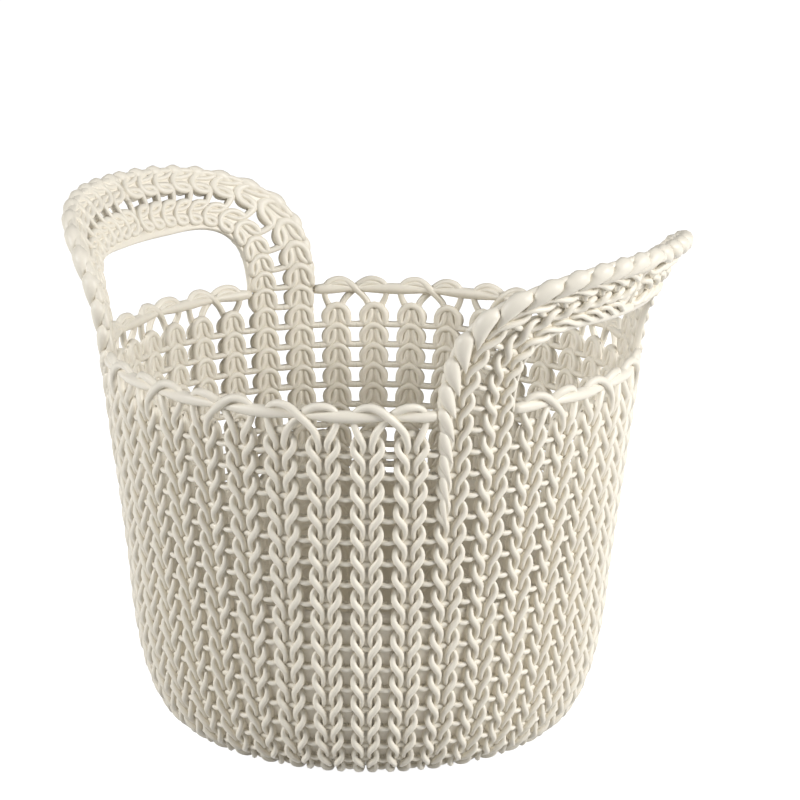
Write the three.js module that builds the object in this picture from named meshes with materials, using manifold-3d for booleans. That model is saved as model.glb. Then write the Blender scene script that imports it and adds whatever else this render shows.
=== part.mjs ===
// Round storage basket moulded to look knitted: a closed cup below, an open wall of stitch
// columns over course hoops above it, a lashed rim cord, and two handles of stitched bands.
// Millimetres, +Z up, origin on the ground under the middle of the base, handles along X.
import * as THREE from "three";
import { mergeVertices } from "three/addons/utils/BufferGeometryUtils.js";
import Module from "manifold-3d";

const wasm = await Module();
wasm.setup();

// Sizes of the wall
const rimHeight = 137.5; // middle of the rim cord above the ground
const wallRimRadius = 98.5; // outer face of the wall at the rim
const wallSlope = 0.119; // how far the wall leans out for each millimetre of height
const footRadius = 66.7; // where the rounded corner meets the ground
const cornerTop = 61.2; // height at which the rounded corner runs into the straight wall
const cornerFootPull = 20; // how far the corner's curve keeps flat along the ground
const cornerWallPull = 10; // how far the corner's curve keeps straight along the wall
const columnDepth = 2.3; // stitch columns, the outer half of the wall
const hoopDepth = 2.4; // course hoops and cup, the inner half of the wall
const hoopHeight = 2.6;
const floorThickness = 2.6;
const floorDishWidth = 8; // ring over which the floor rises to the wall

// Sizes of the knit
const sideUnits = 3; // pairs of stitch columns under each handle
const panelUnits = 5; // pairs of stitch columns in the front and in the back
const courseCount = 17; // rows of stitches up the wall
const closedCourses = 8; // rows that the cup closes
const firstCourseLift = 12.8; // first row, measured along the wall from the ground
const lastCourseDrop = 0.8; // last row's hoop below the column heads
const slotShare = 0.2; // slot between two columns as a share of their spacing
const spreadPlace = 0.5; // where a stitch's two legs stand apart, in rows above its foot
const spreadShare = 0.8; // how far apart they stand there, as a share of the column's width
const pinchPlace = 0.85; // where the next stitch's legs leave its foot, close together
const pinchShare = 0.38;
const archPinchShare = 0.6; // the same over a handle's arch
const spreadGroove = 0.5; // groove between the legs where they stand apart, over the next stitch's foot
const pinchGroove = 1.6; // groove between the legs where they stand close

// Sizes of the rim
const cordDiameter = 3.8;
const cordInset = 3.5; // middle of the rim cord in from the wall's outer face
const cordEndShare = 0.7; // how thin a cord's rounded end is against the cord
const lashingDiameter = 2.2;
const lashingTail = 0.5; // how far the lashing's ends reach below its turns

// Sizes of the handles
const holeRise = 26.9; // top of the hand hole above the rim cord
const holeSideExponent = 5.4; // how square the hole's outline is at its sides
const holeTopExponent = 4.5; // how square it is along its top
const archSpread = 18.7; // top of the outer band's middle above the hole
const archSideExponent = 3.0;
const archTopExponent = 5.0;
const lipWidth = 2.8; // smooth strip round the hole
const lipDepth = 3.6;
const bandSlot = 2.2; // slot between a handle's two stitched bands
const bandDepth = 5.0;
const flareSlope = 0.048; // how far a handle leans out at the rim
const flareCurve = 0.007; // how much more it leans out with height, per millimetre
const flareFlatten = 0.00105; // how much its curve across opens out with height, per millimetre
const handleStitches = 22; // stitches round a handle's arch
const scallopRise = 0.6; // how far each stitch of the outer band swells
const rungWidth = 2.4;
const rungDepth = 2.6;

// Clearance between pieces that touch
const seam = 0.3;

const UP = new THREE.Vector3(0, 0, 1);
const legsPerSide = 2; // columns that run on into the handle, at each of its feet
const columnCount = 4 * (sideUnits + panelUnits + legsPerSide);
const columnPitch = (2 * Math.PI) / columnCount;
const cornerStretch = 1 / Math.cos(columnPitch / 2); // a hoop's corners stand out from its flats
const wallDepth = columnDepth + seam + hoopDepth;
const hoopInset = columnDepth + seam;
const rimRadius = wallRimRadius - cordInset;
const cordReach = cordDiameter / 2 + seam + lashingDiameter / 2; // middle of the lashing from the cord's
const headDrop = cordReach + lashingTail + lashingDiameter / 2 + seam; // column heads below the cord

const basket = new THREE.Group();

function addPiece(name, geometry, turn = 0) {
  const material = new THREE.MeshStandardMaterial({ color: 0xeae3d6, roughness: 0.5, metalness: 0 });
  const mesh = new THREE.Mesh(geometry, material);
  mesh.name = name;
  mesh.rotation.z = turn;
  basket.add(mesh);
}

// Solid through rings of points, each ring anticlockwise about the way the run goes
function loft(rings, isLoop = false) {
  const sides = rings[0].length;
  const positions = rings.flat().flatMap((p) => [p.x, p.y, p.z]);
  const index = [];
  const spans = isLoop ? rings.length : rings.length - 1;
  for (let span = 0; span < spans; span++) {
    const near = span * sides;
    const far = ((span + 1) % rings.length) * sides;
    for (let side = 0; side < sides; side++) {
      const next = (side + 1) % sides;
      index.push(near + side, near + next, far + next);
      index.push(near + side, far + next, far + side);
    }
  }
  if (!isLoop) {
    closeEnd(positions, index, [...rings[0]].reverse());
    closeEnd(positions, index, rings[rings.length - 1]);
  }
  const geometry = new THREE.BufferGeometry();
  geometry.setAttribute("position", new THREE.Float32BufferAttribute(positions, 3));
  geometry.setIndex(index);
  return mergeVertices(geometry);
}

// Flat end of a loft, fanned from its middle
function closeEnd(positions, index, ring) {
  const middle = ring.reduce((sum, p) => sum.add(p), new THREE.Vector3()).divideScalar(ring.length);
  const first = positions.length / 3;
  for (const p of [middle, ...ring]) positions.push(p.x, p.y, p.z);
  for (let side = 0; side < ring.length; side++) {
    index.push(first, first + 1 + side, first + 1 + ((side + 1) % ring.length));
  }
}

// Several closed shapes joined into one
function joined(geometries) {
  const solids = geometries.map(
    (geometry) =>
      new wasm.Manifold(
        new wasm.Mesh({
          numProp: 3,
          vertProperties: new Float32Array(geometry.attributes.position.array),
          triVerts: new Uint32Array(geometry.index.array),
        }),
      ),
  );
  const mesh = solids.reduce((sum, next) => sum.add(next)).getMesh();
  const geometry = new THREE.BufferGeometry();
  geometry.setAttribute("position", new THREE.BufferAttribute(mesh.vertProperties, 3));
  geometry.setIndex(new THREE.BufferAttribute(mesh.triVerts, 1));
  return geometry;
}

// The wall's outer face from the ground up: X is its radius and Y its height
function wallCurve() {
  const cornerEnd = new THREE.Vector2(wallRimRadius - wallSlope * (rimHeight - cornerTop), cornerTop);
  const curve = new THREE.CurvePath();
  curve.add(
    new THREE.CubicBezierCurve(
      new THREE.Vector2(footRadius, 0),
      new THREE.Vector2(footRadius + cornerFootPull, 0),
      new THREE.Vector2(cornerEnd.x - wallSlope * cornerWallPull, cornerTop - cornerWallPull),
      cornerEnd,
    ),
  );
  curve.add(new THREE.LineCurve(cornerEnd, new THREE.Vector2(wallRimRadius, rimHeight)));
  return curve;
}

const wall = wallCurve();
const wallLength = wall.getLength();
const lastCourseLift = wallLength - headDrop - lastCourseDrop - hoopHeight / 2;
const courseRise = (lastCourseLift - firstCourseLift) / (courseCount - 1);
const courseLift = (course) => firstCourseLift + (course - 1) * courseRise;

// Stations up a stitch column: how far along the wall, and whether the legs stand close there
function columnStations() {
  const stations = [{ lift: 0, isPinched: false }];
  for (let course = 0; course < courseCount; course++) {
    stations.push({ lift: courseLift(course + spreadPlace), isPinched: false });
    const hasPinch = course > 1 && course < courseCount - 1;
    if (hasPinch) stations.push({ lift: courseLift(course + pinchPlace), isPinched: true });
  }
  return [...stations, { lift: wallLength - headDrop, isPinched: false }];
}

const radial = (angle) => new THREE.Vector3(Math.cos(angle), Math.sin(angle), 0);
const sideways = (angle) => new THREE.Vector3(-Math.sin(angle), Math.cos(angle), 0);

// A place on the wall's outer face, which way is out of it, and its radius
function wallStation(angle, lift) {
  const point = wall.getPointAt(lift / wallLength);
  const along = wall.getTangentAt(lift / wallLength);
  return {
    place: radial(angle).multiplyScalar(point.x).addScaledVector(UP, point.y),
    out: radial(angle).multiplyScalar(along.y).addScaledVector(UP, -along.x),
    across: sideways(angle),
    radius: point.x,
  };
}

// Points about a station, from pairs of distance across and depth below its face
const ringAt = (station, outline) =>
  outline.map(([across, depth]) =>
    station.place.clone().addScaledVector(station.across, across).addScaledVector(station.out, -depth),
  );

// Section of a stitch column: the two legs of a stitch with a groove between them
const columnSection = (backHalf, frontHalf, depth, legShare, groove) => [
  [-backHalf, depth],
  [frontHalf, depth],
  [frontHalf * legShare, 0],
  [0, groove],
  [-backHalf * legShare, 0],
];

// Rings of a stitch column from the ground to its head
function columnRings(angle, acrossSign) {
  return columnStations().map(({ lift, isPinched }) => {
    const station = wallStation(angle, lift);
    station.across.multiplyScalar(acrossSign);
    const half = ((1 - slotShare) / 2) * columnPitch * station.radius;
    const legs = isPinched ? [pinchShare, pinchGroove] : [spreadShare, spreadGroove];
    return ringAt(station, columnSection(half, half, columnDepth, ...legs));
  });
}

// Base cup: floor, rounded corner and the closed lower rows of the wall, in one shell
function baseCup() {
  const cupTop = courseLift(closedCourses) + hoopHeight / 2;
  const rows = Array.from({ length: closedCourses }, (_, course) => courseLift(course + spreadPlace));
  const lifts = [0, ...rows.filter((lift) => lift < cupTop), cupTop];
  const sunk = (inset) =>
    lifts.map((lift) => {
      const { place, out } = wallStation(0, lift);
      return new THREE.Vector2(place.x - out.x * inset, place.z - out.z * inset);
    });
  const inner = sunk(wallDepth);
  const profile = [
    new THREE.Vector2(0, 0),
    new THREE.Vector2(footRadius - seam, 0),
    new THREE.Vector2(footRadius - seam, hoopInset),
    ...sunk(hoopInset),
    ...[...inner].reverse(),
    new THREE.Vector2(inner[0].x - floorDishWidth, floorThickness),
    new THREE.Vector2(0, floorThickness),
  ];
  for (const point of profile) point.x *= cornerStretch;
  return new THREE.LatheGeometry(profile, columnCount).rotateX(Math.PI / 2);
}

// Course hoop: the inner half of one row of stitches, a ring behind all columns
function courseHoop(course) {
  const rings = [];
  for (let corner = 0; corner < columnCount; corner++) {
    const station = wallStation(corner * columnPitch, courseLift(course));
    station.place.addScaledVector(radial(corner * columnPitch), station.radius * (cornerStretch - 1));
    station.across.cross(station.out).negate();
    rings.push(
      ringAt(station, [
        [-hoopHeight / 2, wallDepth],
        [hoopHeight / 2, wallDepth],
        [hoopHeight / 2, hoopInset],
        [-hoopHeight / 2, hoopInset],
      ]),
    );
  }
  return loft(rings, true);
}

// Round strand along a curve; its first and last rings are drawn in where endShare is under 1
function roundStrand(curve, diameter, sides, steps, endShare = 1) {
  let side = new THREE.Vector3().crossVectors(curve.getTangentAt(0), new THREE.Vector3(1, 1, 1));
  const rings = [];
  for (let step = 0; step <= steps; step++) {
    const place = curve.getPointAt(step / steps);
    const along = curve.getTangentAt(step / steps);
    side = side.addScaledVector(along, -side.dot(along)).normalize();
    const lift = new THREE.Vector3().crossVectors(along, side);
    const isEnd = step === 0 || step === steps;
    const radius = (diameter / 2) * (isEnd ? endShare : 1);
    rings.push(
      Array.from({ length: sides }, (_, corner) => {
        const turn = (2 * Math.PI * corner) / sides;
        return place
          .clone()
          .addScaledVector(side, Math.cos(turn) * radius)
          .addScaledVector(lift, Math.sin(turn) * radius);
      }),
    );
  }
  return loft(rings);
}

// A place near the rim cord: distances above and outside its middle
const rimPlace = (angle, rise, out) =>
  radial(angle)
    .multiplyScalar(rimRadius + out)
    .addScaledVector(UP, rimHeight + rise);

// Stretch of the rim cord between two angles
function rimCord(from, to) {
  const steps = Math.round((to - from) / columnPitch);
  const angles = Array.from({ length: steps + 1 }, (_, step) => from + ((to - from) * step) / steps);
  const curve = new THREE.CatmullRomCurve3(angles.map((angle) => rimPlace(angle, 0, 0)));
  return roundStrand(curve, cordDiameter, 6, steps, cordEndShare);
}

const lowTurn = 0.9; // where a strand turns under the cord, in columns

// One strand of a lashing unit: up behind the cord, over it, and down in front to the next column.
// Its turns are in columns along the rim, then above and outside the middle of the cord.
function lashingStrand(crossing, hand, backReach) {
  const low = -cordReach - lashingTail;
  const diagonal = cordReach * Math.SQRT1_2;
  const turns = [
    [-0.7 * backReach, low, diagonal],
    [-lowTurn * backReach, -cordReach * 1.08, -diagonal * 0.7],
    [-backReach, 0, -cordReach * 1.12],
    [-0.8 * backReach, diagonal, -diagonal * 1.15],
    [-0.5, cordReach * 1.12, 0],
    [-0.2, diagonal, diagonal * 1.1],
    [0, 0, cordReach * 1.05],
    [0.14, -diagonal, diagonal * 1.1],
    [0.28, low, diagonal],
  ];
  const points = turns.map(([columns, rise, out]) =>
    rimPlace(crossing + hand * columns * columnPitch, rise, out),
  );
  return roundStrand(new THREE.CatmullRomCurve3(points), lashingDiameter, 4, turns.length - 1);
}

// Lashing of one stretch of the rim: a crossed pair of strands for every two columns
function rimLashing(firstCrossing, unitCount, endReach) {
  const strands = [];
  for (let unit = 0; unit < unitCount; unit++) {
    const crossing = firstCrossing + unit * 2 * columnPitch;
    strands.push(lashingStrand(crossing, 1, unit === 0 ? endReach : 1));
    strands.push(lashingStrand(crossing, -1, unit === unitCount - 1 ? endReach : 1));
  }
  return joined(strands);
}

// The handle's sheet and where its bands run, measured out from the edge of the hand hole
const handleRadius = wallRimRadius - wallDepth / 2;
const innerLegAngle = (sideUnits + 0.5) * columnPitch;
const outerLegAngle = innerLegAngle + columnPitch;
const legSpacing = handleRadius * (Math.sin(outerLegAngle) - Math.sin(innerLegAngle));
const bandWidth = legSpacing - bandSlot;
const innerBandOffset = lipWidth + seam + bandWidth / 2;
const outerBandOffset = innerBandOffset + legSpacing;
const holeHalfWidth = handleRadius * Math.sin(innerLegAngle) - innerBandOffset;

// An arch from one foot over the top to the other: X is across and Y above the rim
function archCurve(halfWidth, rise, sideExponent, topExponent) {
  const samples = 160;
  const points = [];
  for (let sample = 0; sample <= samples; sample++) {
    const turn = (Math.PI * (1 - Math.cos((Math.PI * sample) / samples))) / 2;
    const across = Math.sign(Math.cos(turn)) * Math.abs(Math.cos(turn)) ** (2 / sideExponent);
    const height = Math.abs(Math.sin(turn)) ** (2 / topExponent);
    points.push(new THREE.Vector2(-halfWidth * across, rise * height));
  }
  const curve = new THREE.SplineCurve(points);
  curve.arcLengthDivisions = 800;
  return curve;
}

const hole = archCurve(holeHalfWidth, holeRise, holeSideExponent, holeTopExponent);
const archHalfWidth = holeHalfWidth + outerBandOffset;
const arch = archCurve(archHalfWidth, holeRise + archSpread, archSideExponent, archTopExponent);

// Points about a place on the handle's sheet, from pairs of distance out from the hole, as a
// stretch of the way to the outer band, and depth below the middle of the sheet
function handleRing(share, outline) {
  const edge = hole.getPointAt(share);
  const lead = arch.getPointAt(share).sub(edge).divideScalar(outerBandOffset);
  return outline.map(([offset, depth]) => {
    const across = edge.x + lead.x * offset;
    const rise = edge.y + lead.y * offset;
    const chord = Math.sqrt(handleRadius ** 2 - across ** 2);
    const sag = handleRadius - chord;
    const open = 1 - flareFlatten * rise;
    const lean = flareSlope * rise + flareCurve * rise ** 2;
    const leanUp = flareSlope + 2 * flareCurve * rise + flareFlatten * sag;
    const out = new THREE.Vector3(1, (across / chord) * open, -leanUp).normalize();
    const place = new THREE.Vector3(handleRadius + lean - sag * open, across, rimHeight + rise);
    return place.addScaledVector(out, -depth);
  });
}

// One stitched band of a handle: up one leg column from the ground, over the arch and down the other
function handleBand(legAngle, offset, swell) {
  const archRings = [];
  for (let half = 0; half <= 2 * handleStitches; half += swell > 0 ? 1 : 2) {
    const isPinched = swell > 0 && half % 2 === 0;
    const outerHalf = bandWidth / 2 + (half % 2) * swell;
    const legs = isPinched ? [archPinchShare, pinchGroove] : [spreadShare, spreadGroove];
    const section = columnSection(bandWidth / 2, outerHalf, bandDepth, ...legs);
    const outline = section.map(([across, depth]) => [offset + across, depth - bandDepth / 2]);
    archRings.push(handleRing(half / (2 * handleStitches), outline));
  }
  return loft([...columnRings(-legAngle, -1), ...archRings, ...columnRings(legAngle, 1).reverse()]);
}

// Short bar from the inner band of a handle to the outer one
function handleRung(stitch) {
  const overlap = 0.5;
  const near = innerBandOffset + bandWidth / 2 - overlap;
  const far = outerBandOffset - bandWidth / 2 - seam;
  const halfShare = rungWidth / 2 / hole.getLength();
  const rings = [-halfShare, halfShare].map((step) =>
    handleRing(stitch / handleStitches + step, [
      [near, rungDepth / 2],
      [far, rungDepth / 2],
      [far, -rungDepth / 2],
      [near, -rungDepth / 2],
    ]),
  );
  return loft(rings);
}

function innerHandleBand() {
  const pieces = [handleBand(innerLegAngle, innerBandOffset, 0)];
  for (let stitch = 1; stitch < handleStitches; stitch++) pieces.push(handleRung(stitch));
  return joined(pieces);
}

// Smooth strip round the hand hole, its feet clear of the rim cord
function holeLip() {
  const footShare = cordDiameter / 2 / hole.getLength();
  const shares = [footShare];
  for (let stitch = 1; stitch < handleStitches; stitch++) shares.push(stitch / handleStitches);
  shares.push(1 - footShare);
  const section = [
    [0, lipDepth / 2],
    [lipWidth, lipDepth / 2],
    [lipWidth, -lipDepth / 2],
    [0, -lipDepth / 2],
  ];
  return loft(shares.map((share) => handleRing(share, section)));
}

// Where the rim cords and lashings end beside the handles
const handleHalfWidth = archHalfWidth + bandWidth / 2 + scallopRise;
const sideCordAngle = Math.asin((holeHalfWidth - seam) / (rimRadius + cordDiameter / 2));
const panelCordAngle = Math.asin((handleHalfWidth + seam) / (rimRadius - cordDiameter / 2));
const firstSideCrossing = -(sideUnits - 1) * columnPitch;
const firstPanelCrossing = outerLegAngle + 1.5 * columnPitch;
const panelLashingAngle = Math.asin((handleHalfWidth + seam + lashingDiameter / 2) / (rimRadius - cordReach / 2));
const panelLashingReach = (firstPanelCrossing - panelLashingAngle) / (lowTurn * columnPitch);

// The whole basket
const twoDigits = (number) => String(number).padStart(2, "0");
const halfTurn = Math.PI;

addPiece("base_cup", baseCup());

for (let course = closedCourses + 1; course <= courseCount; course++) {
  addPiece("course_hoop_" + twoDigits(course), courseHoop(course));
}

for (const [end, turn] of [["right", 0], ["left", halfTurn]]) {
  for (let column = 1; column <= 2 * sideUnits; column++) {
    const angle = (column - sideUnits - 0.5) * columnPitch;
    addPiece(end + "_column_" + twoDigits(column), loft(columnRings(angle, -1)), turn);
  }
  addPiece(end + "_rim_cord", rimCord(-sideCordAngle, sideCordAngle), turn);
  addPiece(end + "_rim_lashing", rimLashing(firstSideCrossing, sideUnits, 1), turn);
  addPiece(end + "_handle_outer_band", handleBand(outerLegAngle, outerBandOffset, scallopRise), turn);
  addPiece(end + "_handle_inner_band", innerHandleBand(), turn);
  addPiece(end + "_handle_hole_lip", holeLip(), turn);
}

for (const [end, turn] of [["back", 0], ["front", halfTurn]]) {
  for (let column = 1; column <= 2 * panelUnits; column++) {
    const angle = outerLegAngle + column * columnPitch;
    addPiece(end + "_column_" + twoDigits(column), loft(columnRings(angle, -1)), turn);
  }
  addPiece(end + "_rim_cord", rimCord(panelCordAngle, halfTurn - panelCordAngle), turn);
  addPiece(end + "_rim_lashing", rimLashing(firstPanelCrossing, panelUnits, panelLashingReach), turn);
}

export default basket;
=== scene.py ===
import logging
import math
from dataclasses import dataclass
from enum import Enum
from typing import Sequence

import bpy
from mathutils import Matrix, Vector


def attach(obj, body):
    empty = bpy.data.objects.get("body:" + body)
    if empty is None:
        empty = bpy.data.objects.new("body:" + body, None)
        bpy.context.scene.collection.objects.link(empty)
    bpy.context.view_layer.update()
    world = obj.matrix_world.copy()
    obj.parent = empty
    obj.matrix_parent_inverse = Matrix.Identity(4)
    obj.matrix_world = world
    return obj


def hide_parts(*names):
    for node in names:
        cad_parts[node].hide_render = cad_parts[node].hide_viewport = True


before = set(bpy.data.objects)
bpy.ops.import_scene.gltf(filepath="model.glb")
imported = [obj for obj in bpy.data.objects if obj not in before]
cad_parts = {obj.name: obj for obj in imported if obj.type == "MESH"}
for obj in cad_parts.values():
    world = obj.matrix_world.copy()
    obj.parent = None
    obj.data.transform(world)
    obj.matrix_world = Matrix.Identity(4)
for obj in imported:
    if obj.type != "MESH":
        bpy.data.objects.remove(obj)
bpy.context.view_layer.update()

log = logging.getLogger("basket")
MM = 0.001
BODY = "root"

# Places of the Mix node's sockets for vectors and for colours, which share their names
VECTOR_A, VECTOR_B, VECTOR_RESULT = 4, 5, 1
COLOR_A, COLOR_B, COLOR_RESULT = 6, 7, 2

FlatPoint = tuple[float, float, float]


@dataclass(frozen=True)
class BasketSizes:
    """Sizes that every sub-assembly shares, in millimetres and radians."""

    rim_height: float = 137.5
    wall_rim_radius: float = 98.5
    wall_slope: float = 0.119
    foot_radius: float = 66.7
    corner_top: float = 61.2
    corner_foot_pull: float = 20.0
    corner_wall_pull: float = 10.0
    wall_depth: float = 5.0
    wall_length: float = 146.45
    crown_run: float = 60.0
    column_turn: float = math.radians(9)
    first_course: float = 12.8
    course_rise: float = 7.967
    strand: float = 2.7
    inner_strand: float = 2.5
    arch_strand: float = 2.9

    @property
    def middle_radius(self) -> float:
        """Radius of the middle of the wall at the rim, at which flat widths are true."""
        return self.wall_rim_radius - self.wall_depth / 2

    @property
    def pitch(self) -> float:
        """Width of a stitch column at the rim."""
        return self.middle_radius * self.column_turn

    @property
    def outer_line(self) -> float:
        """Depth at which the outer strands run."""
        return self.strand / 2

    @property
    def inner_line(self) -> float:
        """Depth at which the inner strands run."""
        return self.wall_depth - self.inner_strand / 2

    @property
    def rim_course(self) -> float:
        """Height of the rim, counted in courses from the first one."""
        return (self.wall_length - self.first_course) / self.course_rise

    def lift(self, course: float) -> float:
        """Way up the wall to a course, counted from 0."""
        return self.first_course + course * self.course_rise


SIZES = BasketSizes()


@dataclass(frozen=True)
class HandleSizes:
    """The sheet that a handle is made of, and where its bands run on it, in millimetres."""

    hole_rise: float = 26.9
    hole_side_exponent: float = 5.4
    hole_top_exponent: float = 4.5
    arch_spread: float = 18.7
    arch_side_exponent: float = 3.0
    arch_top_exponent: float = 5.0
    lip_width: float = 2.8
    lip_seam: float = 0.3
    band_slot: float = 2.2
    flare_slope: float = 0.048
    flare_curve: float = 0.007
    flare_flatten: float = 0.00105
    inner_leg_columns: float = 3.5
    crown_courses: float = 11.375

    @property
    def leg_angle(self) -> float:
        """Turn from the middle of the handle to its inner leg."""
        return self.inner_leg_columns * SIZES.column_turn

    @property
    def leg_spacing(self) -> float:
        """Way from the inner band's middle to the outer band's."""
        outer = math.sin(self.leg_angle + SIZES.column_turn)
        return SIZES.middle_radius * (outer - math.sin(self.leg_angle))

    @property
    def inner_offset(self) -> float:
        """Way from the edge of the hand hole to the inner band's middle."""
        return self.lip_width + self.lip_seam + (self.leg_spacing - self.band_slot) / 2

    @property
    def outer_offset(self) -> float:
        """Way from the edge of the hand hole to the outer band's middle."""
        return self.inner_offset + self.leg_spacing

    @property
    def hole_half_width(self) -> float:
        """Half the width of the hand hole at the rim."""
        return SIZES.middle_radius * math.sin(self.leg_angle) - self.inner_offset

    def column_at(self, offset: float) -> float:
        """Place across the bands, in columns from the inner one, of a way from the hole's edge."""
        return (offset - self.inner_offset) / self.leg_spacing


HANDLE = HandleSizes()


class End(Enum):
    """The four stretches of the wall, by the half turn that takes a twin onto its place."""

    RIGHT = ("right", 0.0)
    LEFT = ("left", math.pi)
    BACK = ("back", 0.0)
    FRONT = ("front", math.pi)

    @property
    def label(self) -> str:
        """Name of the stretch in the frame's nodes."""
        return self.value[0]

    @property
    def turn(self) -> float:
        """Turn about the upright axis."""
        return self.value[1]

    @property
    def is_side(self) -> bool:
        """Whether it lies between the legs of one handle."""
        return self in (End.RIGHT, End.LEFT)


@dataclass(frozen=True)
class Row:
    """Copies of a flat piece: how many, where, and how wide, by default one as it was drawn.

    The first is as wide as first_size, and each next one wider by size_step, up to last_size.
    """

    count: int = 1
    start: FlatPoint = (0.0, 0.0, 0.0)
    step: FlatPoint = (0.0, SIZES.course_rise, 0.0)
    first_size: float = 1.0
    size_step: float = 0.0
    last_size: float = 1.0


class Value:
    """A number in a node tree that adds and multiplies like a plain one."""

    def __init__(self, tree: bpy.types.NodeTree, socket: bpy.types.NodeSocket) -> None:
        """Keeps the tree and the socket that puts the number out."""
        self.tree = tree
        self.socket = socket

    def __add__(self, other: "Value | float") -> "Value":
        """Sum."""
        return reckon(self.tree, "ADD", self, other)

    def __radd__(self, other: float) -> "Value":
        """Sum."""
        return reckon(self.tree, "ADD", other, self)

    def __sub__(self, other: "Value | float") -> "Value":
        """Difference."""
        return reckon(self.tree, "SUBTRACT", self, other)

    def __rsub__(self, other: float) -> "Value":
        """Difference."""
        return reckon(self.tree, "SUBTRACT", other, self)

    def __mul__(self, other: "Value | float") -> "Value":
        """Product."""
        return reckon(self.tree, "MULTIPLY", self, other)

    def __truediv__(self, other: "Value | float") -> "Value":
        """Quotient."""
        return reckon(self.tree, "DIVIDE", self, other)


def feed(tree: bpy.types.NodeTree, slot: bpy.types.NodeSocket, value: object) -> None:
    """Gives an input socket its value.

    Args:
        tree: The tree that holds the socket's node.
        slot: The input to set.
        value: A Value or an output socket to link, or a plain number, vector or data-block.
    """
    if isinstance(value, Value):
        value = value.socket
    if isinstance(value, bpy.types.NodeSocket):
        tree.links.new(value, slot)
    else:
        slot.default_value = value


def reckon(tree: bpy.types.NodeTree, operation: str, *values: "Value | float") -> Value:
    """Adds a Math node.

    Args:
        tree: The tree to add it to.
        operation: The node's operation.
        values: Its inputs, in order.

    Returns:
        What the node puts out.
    """
    node = tree.nodes.new("ShaderNodeMath")
    node.operation = operation
    for slot, value in zip(node.inputs, values):
        feed(tree, slot, value)
    return Value(tree, node.outputs[0])


class TreeMaker:
    """Builds one Geometry Nodes tree, with named inputs and short calls for its nodes."""

    def __init__(self, name: str) -> None:
        """Starts an empty tree that passes geometry in and out.

        Args:
            name: The tree's name.
        """
        self.tree = bpy.data.node_groups.new(name, "GeometryNodeTree")
        self.inlet = self.tree.nodes.new("NodeGroupInput")
        self.outlet = self.tree.nodes.new("NodeGroupOutput")
        self.tree.interface.new_socket("Geometry", in_out="INPUT", socket_type="NodeSocketGeometry")
        self.tree.interface.new_socket("Geometry", in_out="OUTPUT", socket_type="NodeSocketGeometry")

    def inputs(self, kinds: dict[str, str]) -> None:
        """Adds named inputs.

        Args:
            kinds: The kind of socket for each name, such as Int for Count.
        """
        for name, kind in kinds.items():
            self.tree.interface.new_socket(name, in_out="INPUT", socket_type="NodeSocket" + kind)

    def given(self, name: str) -> Value:
        """What a named input holds."""
        return Value(self.tree, self.inlet.outputs[name])

    def add(self, kind: str, settings: dict | None = None, **fed: object) -> bpy.types.Node:
        """Adds a node.

        Args:
            kind: The node's class.
            settings: The node's own properties.
            fed: Its inputs, by socket name with spaces as underscores.

        Returns:
            The node.
        """
        node = self.tree.nodes.new(kind)
        for name, value in (settings or {}).items():
            setattr(node, name, value)
        for name, value in fed.items():
            feed(self.tree, node.inputs[name.replace("_", " ")], value)
        return node

    def split(self, vector: bpy.types.NodeSocket) -> list[Value]:
        """The three numbers of a vector."""
        node = self.add("ShaderNodeSeparateXYZ", Vector=vector)
        return [Value(self.tree, output) for output in node.outputs]

    def join(self, x: "Value | float", y: "Value | float", z: "Value | float") -> bpy.types.NodeSocket:
        """The vector of three numbers."""
        return self.add("ShaderNodeCombineXYZ", X=x, Y=y, Z=z).outputs[0]

    def finish(self, geometry: bpy.types.NodeSocket) -> bpy.types.NodeTree:
        """Smooths and dresses the result and closes the tree.

        Args:
            geometry: The real mesh that the tree has made.

        Returns:
            The finished tree.
        """
        smooth = self.add("GeometryNodeSetShadeSmooth", Geometry=geometry)
        real = self.add("GeometryNodeRealizeInstances", Geometry=smooth.outputs[0])
        material = self.given("Material")
        dressed = self.add("GeometryNodeSetMaterial", Geometry=real.outputs[0], Material=material)
        feed(self.tree, self.outlet.inputs[0], dressed.outputs[0])
        return self.tree


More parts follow.
